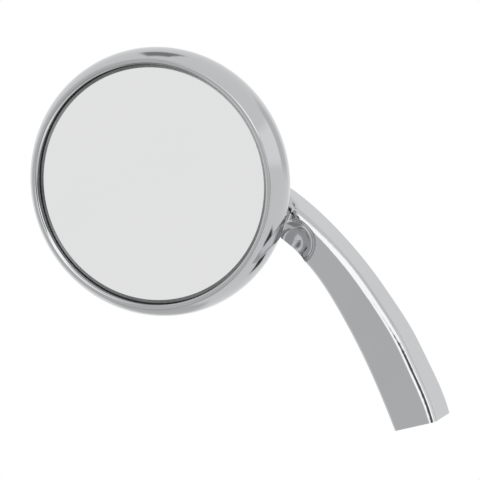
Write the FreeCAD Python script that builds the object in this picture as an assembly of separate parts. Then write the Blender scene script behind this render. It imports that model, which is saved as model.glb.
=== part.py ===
import FreeCAD, Part
import math
import os

# Round-headed rear-view mirror on a solid curved stem.
# Frame: origin at the mouth of the threaded hole in the stem's base, +Z up, the glass faces -Y,
# the stem climbs towards -X. All lengths in millimetres.

V = FreeCAD.Vector

# ---- driving dimensions -------------------------------------------------------------------------
AXIS_X, AXIS_Z = -67.6, 112.9     # the head's axis, parallel to Y
GLASS_Y = -34.45                  # edge plane of the glass; depths s are measured back from it
PIVOT_S = 19.45                   # centre of the ball, on the head's axis

HEAD_R = 50.8                     # widest radius of the head (101.6 mm across)
HEAD_WIDE_S = 7.4                 # depth of the widest ring
FRONT_ROUND = 17.0                # section radius in front of the widest ring
SIDE_ROUND = 16.0                 # section radius just behind it
BACK_ROUND = 10.0                 # section radius of the turn on to the domed back
SIDE_TURN, BACK_TURN = 25.0, 72.0 # section angles where those arcs hand over, degrees
CREST_R = 47.36                   # front crest of the shell, beside the seam
DOME_R = 140.2                    # radius of the domed back
SHELL_WALL = 2.8                  # thickness of the domed back

SEAT_R = 47.25                    # bore the bezel presses into
CAVITY_R = 46.0                   # inside wall of the shell
LEDGE_S, CAVITY_TURN_S = 2.2, 9.5
LIP_S, LIP_ROUND = -3.05, 0.9     # the bezel's flat band and its inner rounding
SEAM_ROUND, SEAM_TURN = 0.45, 52.0  # the band's outer rounding, ending in line with the shell
BEZEL_BORE = 45.3
BEZEL_LEG_R = 45.95

GLASS_R, GLASS_T = 44.95, 3.0
BEVEL_W, BEVEL_D = 1.2, 0.45      # ground bevel round the glass: width and drop
GLASS_CURVE_R = 1200.0            # convex front of the mirror glass
FOAM_R, PLATE_R = 43.6, 45.9
FOAM_S, PLATE_S, PLATE_BACK_S = 3.0, 4.2, 5.4

BALL_R, FIT = 6.5, 0.05           # ball, and the running clearance of each spherical fit
LINER_T, CUP_LINER_T = 1.05, 0.9  # rear seat liner and front cup liner
LINER_HOLE_R, CUP_HOLE_R = 4.5, 2.6
OPENING_R, OPENING_FLARE_R = 5.3, 6.1
NECK_R, THREAD_R = 3.0, 4.0
SHOULDER_S, STUD_END_S = 29.7, 41.5
HUB_R, HUB_BORE, HUB_S = 11.5, 8.75, 16.0
CUP_R, CUP_FRONT_S, CUP_BACK_S = 8.7, 10.6, 17.3
CLAMP_PCR, CLAMP_COUNT = 15.5, 3
CLAMP_T, CLAMP_TOP_S, CLAMP_LUG_S, CLAMP_R = 1.8, 8.8, 13.6, 19.3
SCREW_R = 1.5
PLATE_PCR = 36.0

STEM_FRONT_Y = -10.45
STEM_HALF_W = 8.2                 # half width of the base section
BOSS_R, BOSS_FLAT = 9.5, 8.1      # round end of the stem and the flat that the set screw enters
BOSS_DIR = 76.0                   # heading of the stem at the boss, degrees from vertical
BOSS_S = 34.0                     # seat of the lock washer on the stem
RIDGE_ROUND, INNER_ROUND, BACK_EDGE_ROUND = 2.5, 1.0, 1.0
BASE_HOLE_R, BASE_HOLE_L = 3.45, 20.0


# ---- helpers ------------------------------------------------------------------------------------
def on_axis(r, s):
    """A point of a turned section: r out from the head's axis, s behind the glass edge plane."""
    return V(AXIS_X + r, GLASS_Y + s, AXIS_Z)


def polar(cx, cy, rad, deg):
    return cx + rad * math.cos(math.radians(deg)), cy + rad * math.sin(math.radians(deg))


def section(start, moves, place=on_axis):
    """Closed face from a start point and moves: (r, s) is a line, ((r, s), (r, s)) an arc
    through the first point to the second, and a list of points a smooth curve."""
    edges, here = [], place(*start)
    for move in list(moves) + [start]:
        if isinstance(move, list):
            pts = [here] + [place(*p) for p in move]
            curve = Part.BSplineCurve()
            curve.interpolate(Points=pts, InitialTangent=V(1, 0, 0), FinalTangent=V(1, 0, 0))
            edges.append(curve.toShape())
            here = pts[-1]
        elif isinstance(move[0], tuple):
            mid, end = place(*move[0]), place(*move[1])
            edges.append(Part.Arc(here, mid, end).toShape())
            here = end
        else:
            end = place(*move)
            if here.distanceToPoint(end) > 1e-6:
                edges.append(Part.LineSegment(here, end).toShape())
            here = end
    return Part.Face(Part.Wire(edges))


def turned(start, moves, centre=(AXIS_X, AXIS_Z)):
    """Solid turned about an axis parallel to Y."""
    dx, dz = centre[0] - AXIS_X, centre[1] - AXIS_Z
    face = section(start, moves)
    solid = face.revolve(on_axis(0, 0), V(0, 1, 0), 360)
    solid.translate(V(dx, 0, dz))
    return solid


def rod(r, s0, s1, dx=0.0, dz=0.0):
    """Cylinder parallel to the head's axis from depth s0 to s1."""
    return Part.makeCylinder(r, s1 - s0, V(AXIS_X + dx, GLASS_Y + s0, AXIS_Z + dz), V(0, 1, 0))


def hexagon(across, s0, s1, dx=0.0, dz=0.0):
    """Hexagonal prism parallel to the head's axis."""
    c = across / math.sqrt(3)
    pts = [on_axis(0, s0) + V(dx + c * math.cos(k * math.pi / 3), 0, dz + c * math.sin(k * math.pi / 3))
           for k in range(7)]
    return Part.Face(Part.makePolygon(pts)).extrude(V(0, s1 - s0, 0))


def round_places(pcr, count, first=90.0):
    for k in range(count):
        a = math.radians(first + 360.0 * k / count)
        yield pcr * math.cos(a), pcr * math.sin(a)


def dome_s(r, offset=0.0):
    """Depth of the domed back at radius r, offset inwards from the outer surface."""
    return dome_centre + math.sqrt((DOME_R - offset) ** 2 - r * r)


def group(solids):
    return solids[0] if len(solids) == 1 else Part.makeCompound(solids)


# ---- head shell -----------------------------------------------------------------------------------
side_c = (HEAD_R - SIDE_ROUND, HEAD_WIDE_S)
front_c = (HEAD_R - FRONT_ROUND, HEAD_WIDE_S)
back_c = polar(*side_c, SIDE_ROUND - BACK_ROUND, SIDE_TURN)
dome_from = polar(*back_c, BACK_ROUND, BACK_TURN)
dome_centre = dome_from[1] - math.sqrt(DOME_R ** 2 - dome_from[0] ** 2)
crest_angle = -math.degrees(math.acos((CREST_R - front_c[0]) / FRONT_ROUND))
crest = polar(*front_c, FRONT_ROUND, crest_angle)

# inside corner: tangent to the straight wall and to the inside of the dome
reach = CAVITY_TURN_S - dome_centre
inner_dome = DOME_R - SHELL_WALL
corner_r = (inner_dome ** 2 - CAVITY_R ** 2 - reach ** 2) / (2 * (inner_dome - CAVITY_R))
corner_c = (CAVITY_R - corner_r, CAVITY_TURN_S)
corner_turn = math.degrees(math.atan2(reach, corner_c[0]))
inner_from = polar(*corner_c, corner_r, corner_turn)

socket_r = BALL_R + 2 * FIT + LINER_T
mouth_s = PIVOT_S + math.sqrt(socket_r ** 2 - OPENING_R ** 2)
socket_mid = polar(0, PIVOT_S, socket_r, 25)

shell = turned((SEAT_R, LEDGE_S), [
    (SEAT_R, crest[1]), crest,
    (polar(*front_c, FRONT_ROUND, crest_angle / 2), (HEAD_R, HEAD_WIDE_S)),
    (polar(*side_c, SIDE_ROUND, SIDE_TURN / 2), polar(*side_c, SIDE_ROUND, SIDE_TURN)),
    (polar(*back_c, BACK_ROUND, (SIDE_TURN + BACK_TURN) / 2), dome_from),
    ((25.0, dome_s(25.0)), (OPENING_FLARE_R, dome_s(OPENING_FLARE_R))),
    (OPENING_R, mouth_s + 0.3), (OPENING_R, mouth_s),
    (socket_mid, (socket_r, PIVOT_S)),
    (HUB_BORE, PIVOT_S), (HUB_BORE, HUB_S), (HUB_R, HUB_S), (HUB_R, dome_s(HUB_R, SHELL_WALL)),
    ((26.0, dome_s(26.0, SHELL_WALL)), inner_from),
    (polar(*corner_c, corner_r, corner_turn / 2), (CAVITY_R, CAVITY_TURN_S)),
    (CAVITY_R, LEDGE_S),
])
clamp_places = list(round_places(CLAMP_PCR, CLAMP_COUNT, 90))
plate_places = list(round_places(PLATE_PCR, 3, 30))
for x, z in clamp_places:
    shell = shell.fuse(rod(3.6, HUB_S, 23.8, x, z))
for x, z in plate_places:
    shell = shell.fuse(rod(3.4, PLATE_BACK_S, 20.2, x, z))
# the screw bosses never reach into the socket's bore
shell = shell.cut(rod(HUB_BORE, HUB_S - 1, PIVOT_S))
for x, z in clamp_places:
    shell = shell.cut(rod(SCREW_R, HUB_S - 1, 22.0, x, z))
for x, z in plate_places:
    shell = shell.cut(rod(SCREW_R, PLATE_BACK_S - 1, 13.5, x, z))
shell = shell.removeSplitter()

# ---- bezel, its seal, the glass and what backs it --------------------------------------------------
lip_c = (BEZEL_BORE + LIP_ROUND, LIP_S + LIP_ROUND)
seam_c = (SEAT_R - SEAM_ROUND * math.sin(math.radians(SEAM_TURN)), LIP_S + SEAM_ROUND)
bezel = turned((BEZEL_BORE, PLATE_S), [
    (BEZEL_BORE, lip_c[1]), (polar(*lip_c, LIP_ROUND, 225), (lip_c[0], LIP_S)),
    (seam_c[0], LIP_S),
    (polar(*seam_c, SEAM_ROUND, SEAM_TURN / 2 - 90), polar(*seam_c, SEAM_ROUND, SEAM_TURN - 90)),
    (SEAT_R, -0.9), (SEAT_R - 1.0, -0.9), (SEAT_R - 1.0, 0.3), (SEAT_R, 0.3),
    (SEAT_R, LEDGE_S), (BEZEL_LEG_R, LEDGE_S), (BEZEL_LEG_R, PLATE_S),
])
seal_c = on_axis(0, -0.3)
bezel_seal = Part.makeTorus(SEAT_R - 0.5, 0.5, seal_c, V(0, 1, 0))

flat_r = GLASS_R - BEVEL_W
bulge = GLASS_CURVE_R - math.sqrt(GLASS_CURVE_R ** 2 - flat_r ** 2)
half_r = flat_r / 2
half_s = -bulge + GLASS_CURVE_R - math.sqrt(GLASS_CURVE_R ** 2 - half_r ** 2)
glass = turned((0, GLASS_T), [
    (0, -bulge), ((half_r, half_s), (flat_r, 0)), (GLASS_R, BEVEL_D), (GLASS_R, GLASS_T)])
gasket = turned((GLASS_R, PLATE_S), [
    (GLASS_R, BEVEL_D + 0.15), ((0.5 * (GLASS_R + BEZEL_BORE), BEVEL_D), (BEZEL_BORE, BEVEL_D + 0.15)),
    (BEZEL_BORE, PLATE_S)])
foam = rod(FOAM_R, FOAM_S, PLATE_S)
plate = rod(PLATE_R, PLATE_S, PLATE_BACK_S)
plate_screws = []
for x, z in plate_places:
    cone = Part.makeCone(2.7, SCREW_R, PLATE_BACK_S - PLATE_S,
                         on_axis(0, PLATE_S) + V(x, 0, z), V(0, 1, 0))
    plate = plate.cut(cone)
    screw = cone.fuse(rod(SCREW_R, PLATE_BACK_S, 12.9, x, z)).removeSplitter()
    plate_screws.append(screw.cut(hexagon(2.0, PLATE_S, PLATE_S + 0.9, x, z)))

# ---- ball joint inside the head --------------------------------------------------------------------
stud = Part.makeSphere(BALL_R, on_axis(0, PIVOT_S)).fuse(
    [rod(NECK_R, PIVOT_S + 2, SHOULDER_S),
     turned((0, SHOULDER_S), [(THREAD_R - 0.5, SHOULDER_S), (THREAD_R, SHOULDER_S + 0.5),
                              (THREAD_R, STUD_END_S - 0.7), (THREAD_R - 0.7, STUD_END_S),
                              (0, STUD_END_S)])]).removeSplitter()
stud = stud.cut(hexagon(4.0, PIVOT_S - BALL_R - 1, PIVOT_S - BALL_R + 3.2))

liner_out, liner_in = BALL_R + FIT + LINER_T, BALL_R + FIT
front_axial = -0.15


def on_sphere(rad, axial):
    return math.sqrt(rad ** 2 - axial ** 2), PIVOT_S + axial


def sphere_at(rad, r):
    return r, PIVOT_S + math.sqrt(rad ** 2 - r ** 2)


liner = turned(on_sphere(liner_in, front_axial), [
    on_sphere(liner_out, front_axial),
    (polar(0, PIVOT_S, liner_out, 25), sphere_at(liner_out, LINER_HOLE_R)),
    sphere_at(liner_in, LINER_HOLE_R),
    (polar(0, PIVOT_S, liner_in, 22), on_sphere(liner_in, front_axial)),
])
back = CUP_BACK_S - PIVOT_S
cup_liner_r = liner_in + CUP_LINER_T
cup_liner = turned((0, PIVOT_S - cup_liner_r), [
    (polar(0, PIVOT_S, cup_liner_r, -50), on_sphere(cup_liner_r, back)), on_sphere(liner_in, back),
    (polar(0, PIVOT_S, liner_in, -50), (0, PIVOT_S - liner_in))])
cup_liner = cup_liner.cut(rod(CUP_HOLE_R, CUP_FRONT_S, PIVOT_S))
cup_in = cup_liner_r + FIT
cup = turned((0, CUP_FRONT_S), [
    (CUP_R, CUP_FRONT_S), (CUP_R, CUP_BACK_S), on_sphere(cup_in, back),
    (polar(0, PIVOT_S, cup_in, -50), (0, PIVOT_S - cup_in))])
clamp = turned((0, CLAMP_TOP_S), [
    (9.6, CLAMP_TOP_S), (12.0, CLAMP_LUG_S), (CLAMP_R, CLAMP_LUG_S), (CLAMP_R, CLAMP_LUG_S + 1.6),
    (11.0, CLAMP_LUG_S + 1.6), (9.05, CLAMP_TOP_S + CLAMP_T), (0, CLAMP_TOP_S + CLAMP_T)])
for x, z in round_places(27.0, CLAMP_COUNT, 30):
    clamp = clamp.cut(rod(13.5, CLAMP_TOP_S - 1, CLAMP_LUG_S + 3, x, z))

WASHER_S, WASHER_T, HEAD_H = 7.55, 0.8, 1.6
WIRE_R, COIL_R, COIL_TURNS = 0.4, 2.3, 4
clamp_screws, clamp_washers, clamp_springs = [], [], []
for x, z in clamp_places:
    clamp = clamp.cut(rod(SCREW_R + 0.2, CLAMP_LUG_S - 1, CLAMP_LUG_S + 3, x, z))
    screw = rod(2.75, WASHER_S - HEAD_H, WASHER_S, x, z).fuse(rod(SCREW_R, WASHER_S, 21.5, x, z))
    screw = screw.removeSplitter()
    clamp_screws.append(screw.cut(hexagon(2.0, WASHER_S - HEAD_H, WASHER_S - 0.6, x, z)))
    washer = rod(3.2, WASHER_S, WASHER_S + WASHER_T, x, z)
    clamp_washers.append(washer.cut(rod(SCREW_R + 0.1, WASHER_S - 1, WASHER_S + 2, x, z)))
    low, high = WASHER_S + WASHER_T + WIRE_R, CLAMP_LUG_S - WIRE_R
    coil = Part.makeLongHelix((high - low) / COIL_TURNS, high - low, COIL_R)
    ring = Part.Wire(Part.makeCircle(WIRE_R, V(COIL_R, 0, 0), V(0, 1, 0)))
    spring = Part.Wire(coil).makePipeShell([ring], True, True)
    spring.rotate(V(0, 0, 0), V(1, 0, 0), -90)
    spring.translate(on_axis(0, low) + V(x, 0, z))
    clamp_springs.append(spring)

# ---- what sits on the stud between head and stem ----------------------------------------------------
neck_seal = rod(4.7, 28.3, SHOULDER_S).cut(rod(NECK_R, 27, 31))
neck_seal = neck_seal.makeFillet(0.35, [e for e in neck_seal.Edges
                                        if e.Curve.TypeId == "Part::GeomCircle" and e.Curve.Radius > 4])
nut_front, nut_back = 30.4, 33.2
nut = hexagon(13.0, nut_front, nut_back).common(turned((0, nut_front), [
    (6.4, nut_front), (7.6, nut_front + 0.6), (7.6, nut_back - 0.6), (6.4, nut_back), (0, nut_back)]))
nut = nut.cut(rod(THREAD_R, nut_front - 1, nut_back + 1))
washer = rod(6.8, nut_back, BOSS_S).cut(rod(THREAD_R + 0.1, nut_back - 1, BOSS_S + 1))
slit = Part.makeBox(8, 3, 0.9, V(AXIS_X + 1, GLASS_Y + nut_back - 1, AXIS_Z - 0.45))
washer = washer.cut(slit)

# ---- stem -------------------------------------------------------------------------------------------
a = math.radians(BOSS_DIR)
heading = V(-math.sin(a), 0, math.cos(a))
right = V(math.cos(a), 0, math.sin(a))
head_axis = V(AXIS_X, 0, AXIS_Z)
end_half = math.sqrt(BOSS_R ** 2 - BOSS_FLAT ** 2)
mid_a = math.atan2(BOSS_FLAT, end_half) / 2

# inner (left) and outer (right) edges of the stem as seen from the front, base first
inner_edge = [(-STEM_HALF_W, 0), (-9.5, 10), (-12.8, 29.5), (-17.75, 49.4), (-25.7, 69.7), (-30.9, 77.4),
              (-37.0, 85.0), (-48.9, 97.4)]
outer_edge = [(STEM_HALF_W, 0), (7.6, 9.4), (5.5, 21.6), (3.0, 34.0), (-1.1, 46.8), (-6.1, 59.8),
              (-12.6, 73.1), (-20.2, 85.5), (-29.0, 96.5), (-41.8, 108.1)]


def edge_curve(points, side):
    pts = [V(x, STEM_FRONT_Y, z) for x, z in points]
    last = head_axis + right * (side * BOSS_R)
    pts.append(V(last.x, STEM_FRONT_Y, last.z))
    curve = Part.BSplineCurve()
    curve.interpolate(Points=pts)
    return curve, pts[-1]


def boss_point(along, across):
    p = head_axis + heading * along + right * across
    return V(p.x, STEM_FRONT_Y, p.z)


def boss_arc(side, first):
    mid = boss_point(BOSS_R * math.sin(mid_a), side * BOSS_R * math.cos(mid_a))
    return Part.Arc(first, mid, boss_point(BOSS_FLAT, side * end_half)).toShape()


left_curve, left_end = edge_curve(inner_edge, -1)
right_curve, right_end = edge_curve(outer_edge, 1)
outline = Part.Wire(Part.__sortEdges__([
    left_curve.toShape(), boss_arc(-1, left_end),
    Part.LineSegment(boss_point(BOSS_FLAT, -end_half), boss_point(BOSS_FLAT, end_half)).toShape(),
    boss_arc(1, right_end), right_curve.toShape(),
    Part.LineSegment(V(-STEM_HALF_W, STEM_FRONT_Y, 0), V(STEM_HALF_W, STEM_FRONT_Y, 0)).toShape()]))
stem = Part.Face(outline).extrude(V(0, 24, 0))

# back face: deep at the base, waisted half way up, swept back again behind the head
back_line = [(-1, 10.4), (18, 9.5), (38, 8.1), (58, 7.3), (74, 7.1), (90, 7.7), (108, 9.4), (125, 9.4)]
back_curve = Part.BSplineCurve()
back_curve.interpolate(Points=[V(-110, y, z) for z, y in back_line])
back_ends = [V(-110, 9.4, 125), V(-110, 16, 125), V(-110, 16, -1), V(-110, 10.4, -1)]
back_wire = Part.Wire([back_curve.toShape()] + [Part.LineSegment(back_ends[k], back_ends[k + 1]).toShape()
                                                for k in range(3)])
stem = stem.cut(Part.Face(back_wire).extrude(V(150, 0, 0)))

# front face dips behind the head: a turned relief about the head's axis
RELIEF_R = 50.4
front_s = STEM_FRONT_Y - GLASS_Y
relief = turned((0, front_s - 3), [
    (0, BOSS_S), (34.0, BOSS_S), [(41.0, 31.6), (46.2, 27.1), (RELIEF_R, front_s)], (RELIEF_R, front_s - 3)])
stem = stem.cut(relief)


def runs_along(edge, curve, front):
    """True for an edge of the stem that follows the given outline curve on its front or its back."""
    p = edge.valueAt(0.5 * (edge.FirstParameter + edge.LastParameter))
    q = V(p.x, STEM_FRONT_Y, p.z)
    near = curve.toShape().distToShape(Part.Vertex(q))[0] < 0.02
    ends = [v.Point for v in edge.Vertexes]
    across = len(ends) == 2 and abs(ends[0].y - ends[1].y) > 0.9 * edge.Length
    return near and not across and edge.Length > 1 and (p.y < 0) == front


for curve, is_front, radius in ((right_curve, True, RIDGE_ROUND), (left_curve, True, INNER_ROUND),
                                (right_curve, False, BACK_EDGE_ROUND), (left_curve, False, BACK_EDGE_ROUND)):
    stem = stem.makeFillet(radius, [e for e in stem.Edges if runs_along(e, curve, is_front)])

# scallop in the front face beside the head's rim
SCALLOP_X, SCALLOP_Z, SCALLOP_R, SCALLOP_D = -28.7, 78.1, 9.8, 2.9
scallop = turned((0, front_s - 3), [
    (0, front_s + SCALLOP_D),
    [(5.7, front_s + 0.84 * SCALLOP_D), (7.9, front_s + 0.4 * SCALLOP_D), (SCALLOP_R, front_s)],
    (SCALLOP_R, front_s - 3)], centre=(SCALLOP_X, SCALLOP_Z))
stem = stem.cut(scallop)

stem = stem.cut(Part.makeCylinder(BASE_HOLE_R, BASE_HOLE_L, V(0, 0, 0), V(0, 0, 1)))
stem = stem.cut(rod(THREAD_R, BOSS_S - 1, STUD_END_S + 0.3))
SET_S, SET_R = 38.0, 2.0
set_from = on_axis(0, SET_S) + heading * (THREAD_R - 1)
stem = stem.cut(Part.makeCylinder(SET_R, BOSS_R, set_from, heading))
set_screw = Part.makeCylinder(SET_R, 3.6, on_axis(0, SET_S) + heading * (THREAD_R + 0.05), heading)
hex_pts = []
for k in range(7):
    t = k * math.pi / 3
    hex_pts.append(on_axis(0, SET_S) + heading * (THREAD_R + 2.05)
                   + right * (1.15 * math.cos(t)) + V(0, 1.15 * math.sin(t), 0))
set_screw = set_screw.cut(Part.Face(Part.makePolygon(hex_pts)).extrude(heading * 3))

# ---- write one file per piece -------------------------------------------------------------------------
NODES = {
    "stem": stem, "ball_stud": stud, "jam_nut": nut, "lock_washer": washer, "stud_set_screw": set_screw,
    "neck_seal": neck_seal, "seat_liner": liner,
    "head_shell": shell, "bezel_ring": bezel, "bezel_seal": bezel_seal, "mirror_glass": glass,
    "glass_gasket": gasket, "foam_pad": foam, "backing_plate": plate, "plate_screws": group(plate_screws),
    "cup_liner": cup_liner, "pressure_cup": cup, "clamp_plate": clamp, "clamp_screws": group(clamp_screws),
    "clamp_washers": group(clamp_washers), "clamp_springs": group(clamp_springs),
}
os.makedirs("parts", exist_ok=True)
for name, shape in NODES.items():
    if not shape.isValid() or not all(s.isClosed() for s in shape.Shells):
        raise ValueError(name + " is not a closed valid solid")
    shape.exportStep("parts/%s.step" % name)
    box = shape.BoundBox
    print("%-15s solids %d vol %.1f  box %.1f %.1f %.1f / %.1f %.1f %.1f" % (
        name, len(shape.Solids), shape.Volume, box.XMin, box.YMin, box.ZMin, box.XMax, box.YMax, box.ZMax))
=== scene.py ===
"""Round chrome rear-view mirror: looks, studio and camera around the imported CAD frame. Metres."""

import math

import bpy
from mathutils import Matrix, Vector


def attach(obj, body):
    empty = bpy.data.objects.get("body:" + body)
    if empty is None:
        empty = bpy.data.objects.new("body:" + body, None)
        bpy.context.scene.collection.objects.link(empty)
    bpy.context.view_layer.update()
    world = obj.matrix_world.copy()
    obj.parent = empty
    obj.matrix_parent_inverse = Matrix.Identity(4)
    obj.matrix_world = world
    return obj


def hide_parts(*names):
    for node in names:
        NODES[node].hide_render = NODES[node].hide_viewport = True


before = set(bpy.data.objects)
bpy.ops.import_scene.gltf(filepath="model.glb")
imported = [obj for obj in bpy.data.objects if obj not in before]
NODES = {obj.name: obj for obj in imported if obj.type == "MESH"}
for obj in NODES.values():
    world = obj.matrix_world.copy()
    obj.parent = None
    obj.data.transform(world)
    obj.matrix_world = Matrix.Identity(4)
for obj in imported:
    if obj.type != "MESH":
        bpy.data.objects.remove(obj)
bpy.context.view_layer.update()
scene = bpy.context.scene
scene.view_settings.view_transform = "Standard"

# ---- camera ------------------------------------------------------------------------------------
CAMERA_RIGHT = Vector((0.9131, 0.3190, -0.2540))
CAMERA_UP = Vector((0.2225, 0.1321, 0.9659))
CAMERA_BACK = Vector((0.34168, -0.93848, 0.04964))
LENS_MM, SENSOR_MM = 300.0, 36.0
FRAME_WIDTH = 0.18037           # width of the view at the object
VIEW_CENTRE = (-0.06878, 0.06858, 0.006)   # along the camera's right, up and back


def make_camera():
    data = bpy.data.cameras.new("camera")
    data.lens, data.sensor_width = LENS_MM, SENSOR_MM
    data.clip_start, data.clip_end = 0.05, 60.0
    camera = bpy.data.objects.new("camera", data)
    scene.collection.objects.link(camera)
    right, up, back = (v.normalized() for v in (CAMERA_RIGHT, CAMERA_UP, CAMERA_BACK))
    distance = FRAME_WIDTH * LENS_MM / SENSOR_MM
    camera.matrix_world = Matrix.Translation(
        right * VIEW_CENTRE[0] + up * VIEW_CENTRE[1] + back * (VIEW_CENTRE[2] + distance)
    ) @ Matrix((right, up, back)).transposed().to_4x4()
    scene.camera = camera


# ---- node helpers ------------------------------------------------------------------------------
def new_material(name):
    """A material with an emptied tree, its output and its Principled shader."""
    material = bpy.data.materials.new(name)
    material.use_nodes = True
    tree = material.node_tree
    tree.nodes.clear()
    output = tree.nodes.new("ShaderNodeOutputMaterial")
    shader = tree.nodes.new("ShaderNodeBsdfPrincipled")
    tree.links.new(shader.outputs[0], output.inputs["Surface"])
    return material, tree, shader


def object_space(tree, stretch=(1, 1, 1), turn=(0, 0, 0)):
    """Coordinates in the row frame, stretched and turned."""
    coords = tree.nodes.new("ShaderNodeTexCoord")
    mapping = tree.nodes.new("ShaderNodeMapping")
    mapping.inputs["Scale"].default_value = stretch
    mapping.inputs["Rotation"].default_value = turn
    tree.links.new(coords.outputs["Object"], mapping.inputs["Vector"])
    return mapping.outputs[0]


def noise(tree, space, scale, detail=3.0, rough=0.5):
    node = tree.nodes.new("ShaderNodeTexNoise")
    node.inputs["Scale"].default_value = scale
    node.inputs["Detail"].default_value = detail
    node.inputs["Roughness"].default_value = rough
    tree.links.new(space, node.inputs["Vector"])
    return node.outputs["Fac"]


def spread(tree, value, low, high, span=(0.3, 0.7)):
    """A noise value spread over low to high."""
    node = tree.nodes.new("ShaderNodeMapRange")
    node.inputs["From Min"].default_value, node.inputs["From Max"].default_value = span
    node.inputs["To Min"].default_value, node.inputs["To Max"].default_value = low, high
    tree.links.new(value, node.inputs["Value"])
    return node.outputs[0]


def tint(tree, value, stops):
    """A colour from a value: stops are (place, grey or rgb)."""
    node = tree.nodes.new("ShaderNodeValToRGB")
    ramp = node.color_ramp
    while len(ramp.elements) < len(stops):
        ramp.elements.new(0.5)
    for element, (place, colour) in zip(ramp.elements, stops):
        element.position = place
        element.color = (*colour, 1.0)
    tree.links.new(value, node.inputs[0])
    return node.outputs["Color"]


def bump(tree, height, strength, distance, under=None):
    node = tree.nodes.new("ShaderNodeBump")
    node.inputs["Strength"].default_value = strength
    node.inputs["Distance"].default_value = distance
    tree.links.new(height, node.inputs["Height"])
    if under is not None:
        tree.links.new(under, node.inputs["Normal"])
    return node.outputs[0]


# ---- materials ---------------------------------------------------------------------------------
def plated(name, colour, haze=(0.035, 0.075), ripple=0.05, scratches=0.012, metallic=1.0):
    """Bright plate: polishing ripple, hairline scratches and a faint uneven haze."""
    material, tree, shader = new_material(name)
    shader.inputs["Metallic"].default_value = metallic
    space = object_space(tree)
    darker = tuple(c * 0.975 for c in colour)
    cloud = noise(tree, space, 28.0, 4.0, 0.55)
    tree.links.new(tint(tree, cloud, [(0.35, darker), (0.65, colour)]),
                   shader.inputs["Base Color"])
    smear = noise(tree, object_space(tree, (1.0, 1.0, 2.2), (0.3, 0.5, 0.2)), 60.0, 5.0, 0.6)
    tree.links.new(spread(tree, smear, *haze), shader.inputs["Roughness"])
    waves = bump(tree, noise(tree, space, 45.0, 1.0), ripple, 0.0002)
    hairlines = noise(tree, object_space(tree, (1.0, 30.0, 0.6), (0.0, 0.35, 0.8)), 260.0, 2.0)
    tree.links.new(bump(tree, hairlines, scratches, 0.0002, waves), shader.inputs["Normal"])
    return material


def brushed(name, colour, rough=(0.28, 0.42), stretch=(1.0, 1.0, 14.0)):
    """Turned or drawn steel: fine lines one way and a mottled tone."""
    material, tree, shader = new_material(name)
    shader.inputs["Metallic"].default_value = 1.0
    lines = noise(tree, object_space(tree, stretch), 320.0, 3.0, 0.6)
    cloud = noise(tree, object_space(tree), 90.0, 4.0)
    dark = tuple(c * 0.8 for c in colour)
    tree.links.new(tint(tree, cloud, [(0.3, dark), (0.7, colour)]), shader.inputs["Base Color"])
    tree.links.new(spread(tree, lines, *rough), shader.inputs["Roughness"])
    tree.links.new(bump(tree, lines, 0.12, 0.0002), shader.inputs["Normal"])
    return material


def moulded(name, colour, rough, grain=700.0, depth=0.15, mottle=0.85, soft=0.0):
    """Rubber, nylon or foam: moulded grain and a slight unevenness of tone."""
    material, tree, shader = new_material(name)
    space = object_space(tree)
    dark = tuple(c * mottle for c in colour)
    cloud = noise(tree, space, 120.0, 4.0)
    tree.links.new(tint(tree, cloud, [(0.3, dark), (0.7, colour)]), shader.inputs["Base Color"])
    tree.links.new(spread(tree, cloud, *rough), shader.inputs["Roughness"])
    tree.links.new(bump(tree, noise(tree, space, grain, 3.0, 0.6), depth, 0.0003),
                   shader.inputs["Normal"])
    shader.inputs["Subsurface Weight"].default_value = soft
    return material


def silvered(name):
    """Mirror glass: a near-perfect reflector with a faint green cast and a trace of film."""
    material, tree, shader = new_material(name)
    shader.inputs["Metallic"].default_value = 1.0
    space = object_space(tree)
    film = noise(tree, object_space(tree, (1.0, 1.0, 1.8)), 22.0, 5.0, 0.6)
    tree.links.new(tint(tree, film, [(0.3, (0.955, 0.968, 0.960)), (0.7, (0.965, 0.976, 0.968))]),
                   shader.inputs["Base Color"])
    tree.links.new(spread(tree, film, 0.012, 0.03), shader.inputs["Roughness"])
    tree.links.new(bump(tree, noise(tree, space, 30.0, 1.0), 0.01, 0.0001),
                   shader.inputs["Normal"])
    return material


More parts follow.
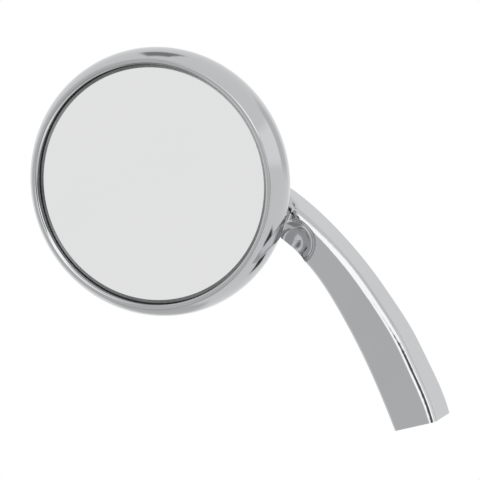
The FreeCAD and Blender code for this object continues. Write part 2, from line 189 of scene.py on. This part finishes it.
CHROME = (0.505, 0.512, 0.522)
MATERIALS = {
    "stem": plated("stem_plate", CHROME),
    "head_shell": plated("shell_plate", CHROME),
    "bezel_ring": plated("bezel_plate", (0.50, 0.505, 0.513)),
    "mirror_glass": silvered("silvered_glass"),
    "jam_nut": plated("nut_plate", (0.50, 0.505, 0.515), haze=(0.10, 0.2), ripple=0.08),
    "ball_stud": brushed("stud_steel", (0.56, 0.56, 0.57), (0.14, 0.26)),
    "lock_washer": brushed("spring_steel", (0.40, 0.40, 0.41)),
    "clamp_springs": brushed("coil_steel", (0.40, 0.40, 0.41)),
    "stud_set_screw": moulded("black_oxide", (0.035, 0.035, 0.04), (0.35, 0.55)),
    "plate_screws": brushed("zinc_screw", (0.52, 0.52, 0.50)),
    "clamp_screws": brushed("zinc_clamp_screw", (0.52, 0.52, 0.50)),
    "clamp_washers": brushed("zinc_washer", (0.52, 0.52, 0.50)),
    "backing_plate": brushed("zinc_plate", (0.50, 0.50, 0.49)),
    "clamp_plate": brushed("zinc_clamp_plate", (0.50, 0.50, 0.49)),
    "pressure_cup": brushed("turned_cup", (0.55, 0.55, 0.56), (0.2, 0.34)),
    "glass_gasket": moulded("gasket_rubber", (0.028, 0.028, 0.030), (0.45, 0.7)),
    "neck_seal": moulded("seal_rubber", (0.03, 0.03, 0.03), (0.5, 0.75)),
    "bezel_seal": moulded("ring_rubber", (0.03, 0.03, 0.03), (0.5, 0.75)),
    "foam_pad": moulded("closed_foam", (0.10, 0.10, 0.10), (0.8, 0.95), 1500.0, 0.5),
    "seat_liner": moulded("seat_nylon", (0.74, 0.73, 0.67), (0.35, 0.5), soft=0.1),
    "cup_liner": moulded("cup_nylon", (0.72, 0.71, 0.65), (0.35, 0.5), soft=0.1),
}
for node, material in MATERIALS.items():
    for place in NODES[node].material_slots:
        place.material = material

# ---- pieces that stand for CAD nodes -----------------------------------------------------------
HEAD_X, HEAD_Z = -0.0676, 0.1129    # the head's axis, which runs along Y
GLASS_Y = -0.03445                  # edge plane of the glass; depths are measured back from it
GLASS_R, GLASS_T, GLASS_CURVE_R = 0.04495, 0.003, 1.2
BEVEL_W, BEVEL_D = 0.0012, 0.00045
FOAM_R, FOAM_FRONT, FOAM_BACK, FOAM_ROUND = 0.0436, 0.003, 0.0042, 0.0003
SEAT_R, LEDGE_S, PLATE_S = 0.04725, 0.0022, 0.0042
BEZEL_BORE, BEZEL_LEG_R = 0.0453, 0.04595
LIP_S, LIP_ROUND = -0.00305, 0.0009
SEAM_ROUND, SEAM_TURN = 0.00045, 52.0
GROOVE_DEEP, GROOVE_FRONT, GROOVE_BACK = 0.001, -0.0009, 0.0003   # the bezel seal's groove
GASKET_SAG = 0.00015
TURNS = 288


def lathed(name, profile, node, sharp_deg=12.0):
    """A solid turned about the head's axis from (radius, depth) points, walked from its front outwards.

    They start and end on the axis, or close on themselves for a ring."""
    verts, faces, rings = [], [], []
    for radius, depth in profile:
        y = GLASS_Y + depth
        if radius == 0:
            rings.append([len(verts)] * TURNS)
            verts.append((HEAD_X, y, HEAD_Z))
            continue
        rings.append(list(range(len(verts), len(verts) + TURNS)))
        for k in range(TURNS):
            t = 2 * math.pi * k / TURNS
            verts.append((HEAD_X + radius * math.cos(t), y, HEAD_Z + radius * math.sin(t)))
    if profile[0][0] > 0:
        rings.append(rings[0])
    for ring, after in zip(rings, rings[1:]):
        for k in range(TURNS):
            face = [ring[k], after[k], after[(k + 1) % TURNS], ring[(k + 1) % TURNS]]
            faces.append(list(dict.fromkeys(face)))
    mesh = bpy.data.meshes.new(name)
    mesh.from_pydata(verts, [], faces)
    mesh.polygons.foreach_set("use_smooth", [True] * len(mesh.polygons))
    mesh.set_sharp_from_angle(angle=math.radians(sharp_deg))
    mesh.materials.append(MATERIALS[node])
    piece = bpy.data.objects.new(name, mesh)
    scene.collection.objects.link(piece)
    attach(piece, "head")
    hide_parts(node)
    return piece


def arc(centre, radius, start, end, steps):
    """Points round part of a circle in the section, angles in degrees."""
    turns = [math.radians(start + (end - start) * k / steps) for k in range(steps + 1)]
    return [(centre[0] + radius * math.cos(a), centre[1] + radius * math.sin(a)) for a in turns]


def make_bezel():
    """The bezel ring: rounded lip, flat band, rounded seam, seal groove and the leg that seats it."""
    lip = (BEZEL_BORE + LIP_ROUND, LIP_S + LIP_ROUND)
    seam = (SEAT_R - SEAM_ROUND * math.sin(math.radians(SEAM_TURN)), LIP_S + SEAM_ROUND)
    lathed("bezel_turned",
           [(BEZEL_BORE, PLATE_S)] + arc(lip, LIP_ROUND, 180, 270, 12)
           + arc(seam, SEAM_ROUND, -90, SEAM_TURN - 90, 8)
           + [(SEAT_R, GROOVE_FRONT), (SEAT_R - GROOVE_DEEP, GROOVE_FRONT),
              (SEAT_R - GROOVE_DEEP, GROOVE_BACK), (SEAT_R, GROOVE_BACK),
              (SEAT_R, LEDGE_S), (BEZEL_LEG_R, LEDGE_S), (BEZEL_LEG_R, PLATE_S)],
           "bezel_ring")


def make_gasket():
    """The thin rubber ring between glass and bezel, its front sagging slightly."""
    middle = 0.5 * (GLASS_R + BEZEL_BORE)
    lathed("gasket_ring",
           [(GLASS_R, PLATE_S), (GLASS_R, BEVEL_D + GASKET_SAG), (middle, BEVEL_D),
            (BEZEL_BORE, BEVEL_D + GASKET_SAG), (BEZEL_BORE, PLATE_S)], "glass_gasket")


def make_glass():
    """The domed glass, from its middle out over the ground bevel and round to the flat back."""
    ground = brushed("ground_edge", (0.40, 0.415, 0.41), (0.30, 0.42))
    flat_r = GLASS_R - BEVEL_W
    dome = GLASS_CURVE_R - math.sqrt(GLASS_CURVE_R ** 2 - flat_r ** 2)
    front = []
    for k in range(33):
        r = flat_r * k / 32
        front.append((r, -dome + GLASS_CURVE_R - math.sqrt(GLASS_CURVE_R ** 2 - r * r)))
    disc = lathed("glass_disc", front + [(GLASS_R, BEVEL_D), (GLASS_R, GLASS_T), (0, GLASS_T)],
                  "mirror_glass")
    disc.data.materials.append(ground)
    for face in disc.data.polygons:
        out = math.hypot(face.center.x - HEAD_X, face.center.z - HEAD_Z)
        if out > flat_r:
            face.material_index = 1


def make_foam():
    """The foam disc behind the glass, its edge softly rounded."""
    edge = FOAM_R - FOAM_ROUND
    profile = ([(0, FOAM_FRONT)] + arc((edge, FOAM_FRONT + FOAM_ROUND), FOAM_ROUND, -90, 0, 6)
               + arc((edge, FOAM_BACK - FOAM_ROUND), FOAM_ROUND, 0, 90, 6) + [(0, FOAM_BACK)])
    foam = lathed("foam_disc", profile, "foam_pad", 40.0)


make_bezel()
make_gasket()
make_glass()
make_foam()


# ---- studio ------------------------------------------------------------------------------------
FLOOR_Z, FLOOR_HALF = 0.0, 6.0
ROOM_GREY = 1.0
FRONT_AZIMUTH = -110.0          # where the flat front faces look for their reflection
FRONT_LEVEL = 0.78
FRONT_HALF, FRONT_SOFT = 25.0, 20.0   # its half width and the softness of its edge, degrees
CAMERA_SEES = 1.0               # what the camera sees of the room itself: plain white
# soft patches of the room, each over the ones before it:
# azimuth, half width, softness, lowest and highest elevation, softness, level
PANELS = [
    (-50.0, 45.0, 5.0, -8.0, 33.0, 10.0, 1.85),
    (20.0, 25.0, 8.0, -8.0, 14.0, 8.0, 1.20),
    (-92.0, 20.0, 10.0, -34.0, -11.0, 8.0, 0.35),
    (-48.0, 21.0, 10.0, -20.0, 9.0, 5.0, 0.15),
    (55.0, 11.0, 6.0, -10.0, 20.0, 8.0, 0.80),
    (132.0, 20.0, 10.0, -62.0, -28.0, 8.0, 0.72),
    (95.0, 16.0, 8.0, 52.0, 70.0, 8.0, 0.33),
    (52.0, 24.0, 8.0, -53.0, -42.0, 4.0, 0.06),
    (-53.0, 20.0, 8.0, -55.0, -35.0, 6.0, 1.80),
    (-153.0, 30.0, 10.0, -66.0, -32.0, 8.0, 0.34),
]


def make_world():
    """A pale room lit from all round, with soft bright and dark panels, by direction only."""
    world = bpy.data.worlds.new("studio")
    scene.world = world
    world.use_nodes = True
    tree = world.node_tree
    tree.nodes.clear()
    output = tree.nodes.new("ShaderNodeOutputWorld")
    background = tree.nodes.new("ShaderNodeBackground")
    tree.links.new(background.outputs[0], output.inputs["Surface"])
    coords = tree.nodes.new("ShaderNodeTexCoord")
    split = tree.nodes.new("ShaderNodeSeparateXYZ")
    tree.links.new(coords.outputs["Generated"], split.inputs[0])

    def maths(operation, a, b=0.0, c=0.0):
        node = tree.nodes.new("ShaderNodeMath")
        node.operation = operation
        for socket, value in zip(node.inputs, (a, b, c)):
            if isinstance(value, (int, float)):
                socket.default_value = value
            else:
                tree.links.new(value, socket)
        return node.outputs[0]

    azimuth = maths("MULTIPLY", maths("ARCTAN2", split.outputs[1], split.outputs[0]),
                    180.0 / math.pi)
    elevation = maths("MULTIPLY", maths("ARCSINE", split.outputs[2]), 180.0 / math.pi)

    def window(value, centre, half, soft):
        """1 inside centre +- half, falling smoothly to 0 over soft."""
        distance = maths("ABSOLUTE", maths("SUBTRACT", value, centre))
        node = tree.nodes.new("ShaderNodeMapRange")
        node.interpolation_type = "SMOOTHSTEP"
        node.inputs["From Min"].default_value = half - soft / 2
        node.inputs["From Max"].default_value = half + soft / 2
        node.inputs["To Min"].default_value = 1.0
        node.inputs["To Max"].default_value = 0.0
        tree.links.new(distance, node.inputs["Value"])
        return node.outputs[0]

    def wrapped(centre):
        """Azimuth from centre, between -180 and 180."""
        return maths("WRAP", maths("SUBTRACT", azimuth, centre), 180.0, -180.0)

    front = window(wrapped(FRONT_AZIMUTH), 0.0, FRONT_HALF, FRONT_SOFT)
    level = maths("ADD", ROOM_GREY, maths("MULTIPLY", front, FRONT_LEVEL - ROOM_GREY))
    for centre, half, soft, low, high, rise, value in PANELS:
        inside = maths("MULTIPLY", window(wrapped(centre), 0.0, half, soft),
                       window(elevation, (low + high) / 2, (high - low) / 2, rise))
        level = maths("ADD", level,
                      maths("MULTIPLY", inside, maths("SUBTRACT", value, level)))
    path = tree.nodes.new("ShaderNodeLightPath")
    shown = maths("ADD", level, maths("MULTIPLY", path.outputs["Is Camera Ray"],
                                      maths("SUBTRACT", CAMERA_SEES, level)))
    tree.links.new(shown, background.inputs["Strength"])
    background.inputs["Color"].default_value = (1.0, 1.0, 1.0, 1.0)


def make_floor():
    """A wide pale floor that the base stands on."""
    half = FLOOR_HALF
    mesh = bpy.data.meshes.new("floor")
    mesh.from_pydata([(-half, -half, 0), (half, -half, 0), (half, half, 0), (-half, half, 0)], [],
                     [(0, 1, 2, 3)])
    floor = bpy.data.objects.new("floor", mesh)
    floor.location = (0, 0, FLOOR_Z)
    scene.collection.objects.link(floor)
    material = bpy.data.materials.new("floor_paper")
    material.use_nodes = True
    tree = material.node_tree
    tree.nodes.clear()
    output = tree.nodes.new("ShaderNodeOutputMaterial")
    glow = tree.nodes.new("ShaderNodeEmission")
    glow.inputs["Strength"].default_value = 1.0
    glow.inputs["Color"].default_value = (1.0, 1.0, 1.0, 1.0)
    tree.links.new(glow.outputs[0], output.inputs["Surface"])
    mesh.materials.append(material)
    floor.visible_glossy = False


make_camera()
make_world()
make_floor()
